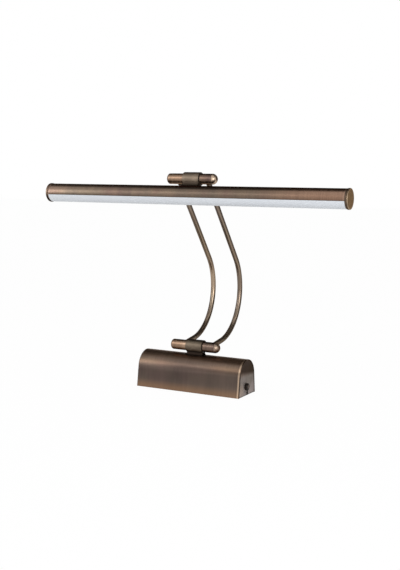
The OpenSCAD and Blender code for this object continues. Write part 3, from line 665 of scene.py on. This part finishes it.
def lever_grid():
    """Switch lever: a flat rounded bar carried straight down from the knob, closed at both ends.

    Its section is a superellipse of power 5, and k shrinks it to a point at the top and round the tip.
    """
    middle_x, half_x, half_y, top_z = 78.6, 0.8, 1.2, 8.1
    z = np.concatenate([[top_z], np.linspace(top_z, 2.3, 8), [1.9, 1.65, 1.56, 1.55]])[:, None]
    k = np.concatenate([[0.0], np.ones(8), [0.93, 0.75, 0.45, 0.0]])[:, None]
    t = round_angles(32)
    corner = (np.abs(np.cos(t)) ** 5 + np.abs(np.sin(t)) ** 5) ** -0.2
    x = middle_x + half_x * k * (np.sin(t) * corner)
    y = KNOB_AXIS[0] + half_y * k * (np.cos(t) * corner)
    return Grid(np.stack([x, y, z + 0 * x], -1))


# Materials
def linear(colour):
    """sRGB hex value as linear red, green, blue and full alpha."""
    c = np.array([int(colour[q:q + 2], 16) for q in (1, 3, 5)]) / 255.0
    return (*np.where(c <= 0.04045, c / 12.92, ((c + 0.055) / 1.055) ** 2.4), 1.0)


def add(tree, kind, values=None, links=None, **settings):
    """Adds one node with its settings, its socket values and its links, and returns its outputs."""
    made = tree.nodes.new(kind)
    for word, value in settings.items():
        setattr(made, word, value)
    for socket, value in (values or {}).items():
        made.inputs[socket].default_value = value
    for socket, source in (links or {}).items():
        tree.links.new(source, made.inputs[socket])
    return made.outputs


def blank(name):
    """A new node material, its tree and its Principled shader."""
    material = bpy.data.materials.new(name)
    material.use_nodes = True
    tree = material.node_tree
    return material, tree, tree.nodes["Principled BSDF"]


# Sockets of a colour mix: its share, its two colours and its result
SHARE, FIRST, SECOND, MIXED = 0, 6, 7, 2
# Colour of olive patches, and the brown-black of painted shade and dark seams
OLIVE, SHADE_AND_PATINA = "#6E6A58", "#1E1714"


def antique_bronze(name, deep, mid, bright, warm, rough, brush, cloud_mm, grazing,
                   olive=0.35, streaks=0.17):
    """Steel plated with antique bronze, brushed and lacquered.

    The eye gets a dark cloudy brown with fine brush lines, copper where edges are rubbed through and where
    highlights are painted, darker seams and painted shade, and a soft metal gloss that sinks to brown-black
    at grazing angles. brush is the stretch of the lines along x, y, z. Real lines are about 0.1 mm apart;
    they are drawn 1 mm apart so that they show.
    """
    line_mm, tint_mm = 1.0, 34.0
    material, tree, shader = blank(name)
    place = add(tree, "ShaderNodeAttribute", attribute_name="lay")["Vector"]
    # Shares of wear and painted highlight, of painted shade and patina, and of warm tone, from the mesh
    rub, soot, tone = (add(tree, "ShaderNodeAttribute", attribute_name=word)["Fac"]
                       for word in ("rub", "soot", "warm"))

    # Patterns: brush lines, clouds stretched along them, and wide patches of olive
    drawn = add(tree, "ShaderNodeMapping", {"Scale": brush}, {"Vector": place})["Vector"]
    lines = add(tree, "ShaderNodeTexNoise",
                {"Scale": 1.0 / (line_mm * MM), "Detail": 3.0, "Roughness": 0.6}, {"Vector": drawn})["Fac"]
    drift = add(tree, "ShaderNodeMapping", {"Scale": [w ** 0.4 for w in brush]}, {"Vector": place})["Vector"]
    cloud = add(tree, "ShaderNodeTexNoise",
                {"Scale": 1.0 / (cloud_mm * MM), "Detail": 4.0, "Roughness": 0.55}, {"Vector": drift})["Fac"]
    tint = add(tree, "ShaderNodeTexNoise",
               {"Scale": 1.0 / (tint_mm * MM), "Detail": 2.0}, {"Vector": place})["Fac"]

    # Colour: clouds, olive patches, warm tone, rubbed edges and painted highlights, painted shade and dark
    # seams, and brush lines over it all
    depth = add(tree, "ShaderNodeMapRange",
                {"From Min": 0.34, "From Max": 0.66}, {"Value": cloud})["Result"]
    base = add(tree, "ShaderNodeMix",
               {FIRST: linear(deep), SECOND: linear(mid)}, {SHARE: depth}, data_type="RGBA")[MIXED]
    fade = add(tree, "ShaderNodeMapRange",
               {"From Min": 0.42, "From Max": 0.62, "To Max": olive}, {"Value": tint})["Result"]
    toned = add(tree, "ShaderNodeMath", {1: 0.85}, {0: tone}, operation="MULTIPLY")[0]
    streak = add(tree, "ShaderNodeMapRange",
                 {"From Min": 0.3, "From Max": 0.7, "To Min": 0.55, "To Max": 1.1},
                 {"Value": lines})["Result"]
    wear_and_light = add(tree, "ShaderNodeMath", {}, {0: rub, 1: streak}, operation="MULTIPLY", use_clamp=True)[0]
    for colour, share in ((OLIVE, fade), (warm, toned), (bright, wear_and_light), (SHADE_AND_PATINA, soot)):
        base = add(tree, "ShaderNodeMix",
                   {SECOND: linear(colour)}, {SHARE: share, FIRST: base}, data_type="RGBA")[MIXED]
    sheen = add(tree, "ShaderNodeMapRange",
                {"From Min": 0.3, "From Max": 0.7, "To Min": 1 - 0.8 * streaks, "To Max": 1 + 0.6 * streaks},
                {"Value": lines})["Result"]
    base = add(tree, "ShaderNodeMix",
               {SHARE: 1.0}, {FIRST: base, SECOND: sheen}, data_type="RGBA", blend_type="MULTIPLY")[MIXED]
    tree.links.new(base, shader.inputs["Base Color"])

    # Gloss and relief of the brush lines
    gloss = add(tree, "ShaderNodeMapRange",
                {"From Min": 0.3, "From Max": 0.7, "To Min": rough - 0.06, "To Max": rough + 0.06},
                {"Value": lines})["Result"]
    tree.links.new(gloss, shader.inputs["Roughness"])
    relief = add(tree, "ShaderNodeBump",
                 {"Strength": 0.12, "Distance": 0.04 * MM}, {"Height": lines})["Normal"]
    tree.links.new(relief, shader.inputs["Normal"])
    shader.inputs["Metallic"].default_value = 1.0
    shader.inputs["Specular Tint"].default_value = linear(grazing)
    return material


def grained(name, light, dark, grain_mm, rough, metallic=0.0, bump=0.05, patch_mm=6.0, wear_and_highlight_colour=None,
            specular=0.5):
    """A plain finish with a fine grain: moulded plastic, rubber, plated steel or printed board.

    The eye gets one colour that drifts a little over patch_mm, and a gloss broken by a grain of grain_mm.
    """
    material, tree, shader = blank(name)
    place = add(tree, "ShaderNodeTexCoord")["Object"]
    grain = add(tree, "ShaderNodeTexNoise",
                {"Scale": 1.0 / (grain_mm * MM), "Detail": 2.0}, {"Vector": place})["Fac"]
    patch = add(tree, "ShaderNodeTexNoise",
                {"Scale": 1.0 / (patch_mm * MM), "Detail": 3.0}, {"Vector": place})["Fac"]
    base = add(tree, "ShaderNodeMix",
               {FIRST: linear(dark), SECOND: linear(light)}, {SHARE: patch}, data_type="RGBA")[MIXED]
    # Paler where the share of wear and painted highlight is high: the worn knob face and the painted
    # highlight on the left gasket
    if wear_and_highlight_colour:
        rub = add(tree, "ShaderNodeAttribute", attribute_name="rub")["Fac"]
        base = add(tree, "ShaderNodeMix",
                   {SECOND: linear(wear_and_highlight_colour)}, {SHARE: rub, FIRST: base}, data_type="RGBA")[MIXED]
    tree.links.new(base, shader.inputs["Base Color"])
    gloss = add(tree, "ShaderNodeMapRange",
                {"To Min": rough - 0.07, "To Max": rough + 0.07}, {"Value": grain})["Result"]
    tree.links.new(gloss, shader.inputs["Roughness"])
    relief = add(tree, "ShaderNodeBump",
                 {"Strength": bump, "Distance": 0.05 * MM}, {"Height": grain})["Normal"]
    tree.links.new(relief, shader.inputs["Normal"])
    shader.inputs["Metallic"].default_value = metallic
    shader.inputs["Specular IOR Level"].default_value = specular
    return material


# How brush lines are stretched: round a turned or bent piece, down a plate, along a drawn tube, in rings on
# a turned face, and hardly at all on a tumbled casting
AROUND = (1.0, 0.03, 0.03)
DOWN = (1.0, 0.6, 0.05)
ALONG = (0.03, 1.0, 1.0)
RINGS = (1.0, 0.5, 0.5)
TUMBLED = (0.3, 1.0, 1.0)

# Antique bronze of the base cover: an even, grey-brown sheet with hardly a streak
housing_bronze = antique_bronze(
    "antique_bronze_housing", "#544843", "#60514B", "#CDB298", "#8A6A4E",
    rough=0.36, brush=AROUND, cloud_mm=16, grazing="#DAD2CC", olive=0.12, streaks=0.06)
# Antique bronze of the end plates: pale and matt, brushed downwards
plate_bronze = antique_bronze(
    "antique_bronze_end_plate", "#A29895", "#BAB0AC", "#D8B898", "#8A6846",
    rough=0.68, brush=DOWN, cloud_mm=14, grazing="#B0A49C")
# Antique bronze of the lamp tube: brown with plain brush lines round it, rosy where it is worn and where
# highlights are painted
tube_bronze = antique_bronze(
    "antique_bronze_tube", "#604F4A", "#766356", "#D2B29C", "#8A6C5A",
    rough=0.34, brush=AROUND, cloud_mm=22, grazing="#A09288")
# Antique bronze of the lamp's end caps: golden brown with turning rings and a painted highlight on the rim
cap_bronze = antique_bronze(
    "antique_bronze_end_cap", "#665248", "#7C6658", "#DCC2A4", "#A88B6A",
    rough=0.38, brush=RINGS, cloud_mm=10, grazing="#C8BCB0")
# Antique bronze of the cross bars and their ends: brown, pale copper where worn and where highlights are
# painted
bar_bronze = antique_bronze(
    "antique_bronze_bar", "#5F4D48", "#796356", "#F6DCC0", "#8E7460",
    rough=0.36, brush=AROUND, cloud_mm=12, grazing="#A09288")
# Antique bronze of the knuckles: a duller olive brown
sleeve_bronze = antique_bronze(
    "antique_bronze_sleeve", "#665A4E", "#857667", "#C8AA88", "#7E6A50",
    rough=0.50, brush=TUMBLED, cloud_mm=9, grazing="#92867C")
# Antique bronze of the arms: smooth and glossy, with draw lines along the tube
arm_bronze = antique_bronze(
    "antique_bronze_arm", "#63574E", "#85786E", "#BAA38B", "#94806A",
    rough=0.24, brush=ALONG, cloud_mm=20, grazing="#B4ACA6")
# Opal acrylic, extruded: a pale cool white with a soft satin gloss and hardly any grain
opal_acrylic = grained("opal_acrylic", "#CACED3", "#C4C8CE", 0.8, 0.34, bump=0.02, patch_mm=40)
# Silicone rubber, moulded: matt, brown for the end gaskets, with a painted highlight on the left one, and
# near-black for the cable inlet
dark_silicone = grained("dark_silicone", "#6A594D", "#584A40", 0.4, 0.6, wear_and_highlight_colour="#A68C7A")
black_silicone = grained("black_silicone", "#1C1917", "#141210", 0.4, 0.62)
# Nylon, moulded: matt brown-black, worn grey on the face of the knob
black_nylon = grained("black_nylon", "#1C120B", "#130B06", 0.35, 0.56, wear_and_highlight_colour="#56483D", specular=0.2)
# Zinc-plated steel: pale grey metal with a faint crystalline grain
zinc_steel = grained("zinc_plated_steel", "#B9BCC0", "#A2A5AA", 0.5, 0.36, metallic=1.0)
# Screws plated like the housing: brown-black metal
bronze_screw = grained("antique_bronze_screw", "#5A4A40", "#40342D", 0.4, 0.36, metallic=1.0)
# Graphite-filled acetal, machined: dark grey-brown, slightly greasy gloss
dark_acetal = grained("dark_acetal", "#2E2924", "#241F1B", 0.4, 0.40)
# Extruded aluminium, mill finish: bright soft grey
mill_aluminium = grained("mill_aluminium", "#C9CBCE", "#B8BBBF", 0.6, 0.34, metallic=1.0)
# Glass-fibre board with printed solder mask: an even, satin white
white_board = grained("white_solder_mask", "#E6E8E6", "#DCDFDC", 0.5, 0.40)
# Silicone with phosphor over each light chip: egg-yolk yellow
phosphor = grained("phosphor_silicone", "#E9D27A", "#DDBF5E", 0.3, 0.45)
# Polycarbonate, moulded, for the driver case and the terminal block: off-white with a soft gloss
white_polycarbonate = grained("white_polycarbonate", "#DADAD4", "#CFCFC8", 0.5, 0.45)
# PVC lead insulation, extruded: red and blue, slightly glossy
red_pvc = grained("red_pvc", "#B0241E", "#931A16", 0.4, 0.40)
blue_pvc = grained("blue_pvc", "#2F4D8F", "#253D74", 0.4, 0.40)
# Rolled brass of the earth tag: yellow metal with a soft gloss
rolled_brass = grained("rolled_brass", "#C9A55A", "#B08C45", 0.4, 0.32, metallic=1.0)

# Visible pieces, each in place of its CAD node
piece("base_cover_skin", [cover_grid()], housing_bronze, "base", "base_cover")
piece("end_plate_left_skin", [plate_grid(-1, 0.0)], plate_bronze, "base", "end_plate_left")
piece("end_plate_right_skin", [plate_grid(1, SWITCH_HOLE_R)], plate_bronze, "base", "end_plate_right")

# The two pivots: bar axis, length of the neck, radius and lean of its seat, body, and the painted light and
# shade of each: how much painted shade dims the sleeve, how much painted light its underside gets, how much
# painted shade falls on the bar's right half, and how strong the painted highlight on its dome is
PIVOTS = (("lower", LOW_BAR, LOW_NECK, ARCH_R, 0.0, "base", 0.26, 0.0, 0.0, 0.28),
          ("upper", HIGH_BAR, HIGH_NECK, TUBE_R, HEAD_LEAN, "head", 0.0, 1.0, 0.16, 0.58))
for level, axis, rise, seat_r, tilt, body, dim, lit, shade, wear_and_light in PIVOTS:
    knuckle = [sleeve_grid(axis, dim, lit), neck_grid(axis, rise, seat_r, tilt, lit)]
    piece(level + "_knuckle_skin", knuckle, sleeve_bronze, body, level + "_knuckle")
    piece(level + "_bar_skin", [bar_grid(axis, shade, lit)], bar_bronze, "arm", level + "_bar")
    button = bar_end_grid(axis, -1, BUTTON_LEN, BUTTON_H, BUTTON_EDGE, 0.0)
    dome = bar_end_grid(axis, 1, 0.0, DOME_H, 0.0, wear_and_light)
    piece(level + "_bar_ends", [button, dome], bar_bronze, "arm", level + "_bar_caps")

# The left arm gets more painted light and a warmer middle than the right one
piece("arm_left_skin", [arm_grid(-ROD_X, 0.9, 0.8)], arm_bronze, "arm", "arm_left")
piece("arm_right_skin", [arm_grid(ROD_X, 0.0, 0.3)], arm_bronze, "arm", "arm_right")
piece("lamp_tube_skin", [tube_grid()], tube_bronze, "head", "lamp_tube")
piece("diffuser_skin", [opal_grid()], opal_acrylic, "head", "diffuser")
for word, side in (("left", -1), ("right", 1)):
    gasket, cap = "gasket_" + word, "end_cap_" + word
    piece(gasket + "_skin", [gasket_grid(side)], dark_silicone, "head", gasket)
    piece(cap + "_skin", [end_cap_grid(side)], cap_bronze, "head", cap)
piece("switch_lever_skin", [knob_grid(), lever_grid()], black_nylon, "lever", "switch_lever")

# Inner pieces keep their CAD shape and get their own finish
FINISH = {
    zinc_steel: ("mounting_plate", "driver_screws", "terminal_screws", "block_screw", "earth_screw",
                 "switch_nut", "lower_clamp", "lower_clamp_screws", "upper_clamp", "upper_clamp_screws"),
    bronze_screw: ("cover_screws",),
    black_silicone: ("cable_grommet",),
    black_nylon: ("switch_body",),
    white_polycarbonate: ("led_driver", "terminal_block"),
    rolled_brass: ("earth_tag",),
    red_pvc: ("base_leads", "arm_leads", "head_leads"),
    blue_pvc: ("mains_leads",),
    dark_acetal: ("lower_liner", "upper_liner"),
    mill_aluminium: ("led_tray",),
    white_board: ("led_board",),
    phosphor: ("led_chips",),
}
for material, nodes in FINISH.items():
    for node in nodes:
        mesh = frame["nodes"][node].data
        mesh.materials.clear()
        mesh.materials.append(material)

# Studio, in metres
FLOOR_HALF, FLOOR_Z = 12.0, -0.0004
FLAGS = (("top_flag", [(-1.8, -0.15, 1.4), (1.8, -0.15, 1.4), (1.8, 1.7, 0.85), (-1.8, 1.7, 0.85)]),
         ("left_flag", [(-1.45, -0.8, 0), (-1.6, 0.35, 0), (-1.6, 0.35, 1.1), (-1.45, -0.8, 1.1)]),
         ("right_flag", [(1.6, 0.3, 0), (0.85, 1.45, 0), (0.85, 1.45, 1.1), (1.6, 0.3, 1.1)]))
# Each softbox: its place, size, power in watts and roll in radians, turned towards AIM
AIM = (0.0, 0.0, 0.2)
SOFTBOXES = (("softbox_left", (-1.08, -1.2, 0.72), (1.2, 0.55), 8.6, 0.85),
             ("softbox_right", (0.95, -0.95, 0.42), (0.7, 0.6), 7.0, 0.0))
WHITE = (1.0, 1.0, 1.0, 1.0)


def card(name, corners, material):
    """Flat four-cornered sheet that belongs to the studio, not to the object."""
    mesh = bpy.data.meshes.new(name)
    mesh.from_pydata(corners, [], [(0, 1, 2, 3)])
    mesh.materials.append(material)
    made = bpy.data.objects.new(name, mesh)
    bpy.context.scene.collection.objects.link(made)
    return made


def seen_ray(tree):
    """1 for camera, glossy and transmission rays, which see the pale background, else 0."""
    path = add(tree, "ShaderNodeLightPath")
    some = add(tree, "ShaderNodeMath", {},
               {0: path["Is Camera Ray"], 1: path["Is Glossy Ray"]}, operation="MAXIMUM")[0]
    return add(tree, "ShaderNodeMath", {},
               {0: some, 1: path["Is Transmission Ray"]}, operation="MAXIMUM")[0]


def surround():
    """White world: full white where it is seen, and a lower level as light."""
    world = bpy.data.worlds.new("white_surround")
    world.use_nodes = True
    bpy.context.scene.world = world
    tree = world.node_tree
    level = add(tree, "ShaderNodeMapRange",
                {"To Min": 0.62, "To Max": 1.0}, {"Value": seen_ray(tree)})["Result"]
    ground = tree.nodes["Background"]
    ground.inputs["Color"].default_value = WHITE
    tree.links.new(level, ground.inputs["Strength"])


def paper_floor():
    """Pale paper floor: nearly white where it is seen, with a faint shadow of the object."""
    paper, tree, shader = blank("white_paper_floor")
    shader.inputs["Base Color"].default_value = linear("#FAFAFA")
    shader.inputs["Roughness"].default_value = 0.9
    share = add(tree, "ShaderNodeMath", {1: 0.97}, {0: seen_ray(tree)}, operation="MULTIPLY")[0]
    glow = add(tree, "ShaderNodeEmission", {"Color": WHITE, "Strength": 1.0})[0]
    both = add(tree, "ShaderNodeMixShader", {}, {0: share, 1: shader.outputs[0], 2: glow})[0]
    tree.links.new(both, tree.nodes["Material Output"].inputs["Surface"])
    sides = ((-1, -1), (1, -1), (1, 1), (-1, 1))
    card("floor", [(sx * FLOOR_HALF, sy * FLOOR_HALF, FLOOR_Z) for sx, sy in sides], paper)


def felt_flags():
    """Grey felt flags above and to both sides, which only the metal's gloss sees."""
    felt, _, shader = blank("grey_felt_flag")
    shader.inputs["Base Color"].default_value = linear("#5C5C5C")
    shader.inputs["Roughness"].default_value = 1.0
    for word, corners in FLAGS:
        flag = card(word, corners, felt)
        for kind in ("camera", "diffuse", "transmission", "shadow"):
            setattr(flag, "visible_" + kind, False)


def softboxes():
    """One wide softbox from the left and a smaller one from the right."""
    for word, place, size, power, roll in SOFTBOXES:
        data = bpy.data.lights.new(word, "AREA")
        data.shape = "RECTANGLE"
        data.size, data.size_y = size
        data.energy = power
        lamp = bpy.data.objects.new(word, data)
        way = Vector(AIM) - Vector(place)
        turn = way.to_track_quat("-Z", "Y").to_matrix().to_4x4() @ Matrix.Rotation(roll, 4, "Z")
        lamp.matrix_world = Matrix.Translation(place) @ turn
        lamp.visible_camera = False
        bpy.context.scene.collection.objects.link(lamp)


surround()
paper_floor()
felt_flags()
softboxes()
bpy.context.scene.view_settings.view_transform = "Standard"
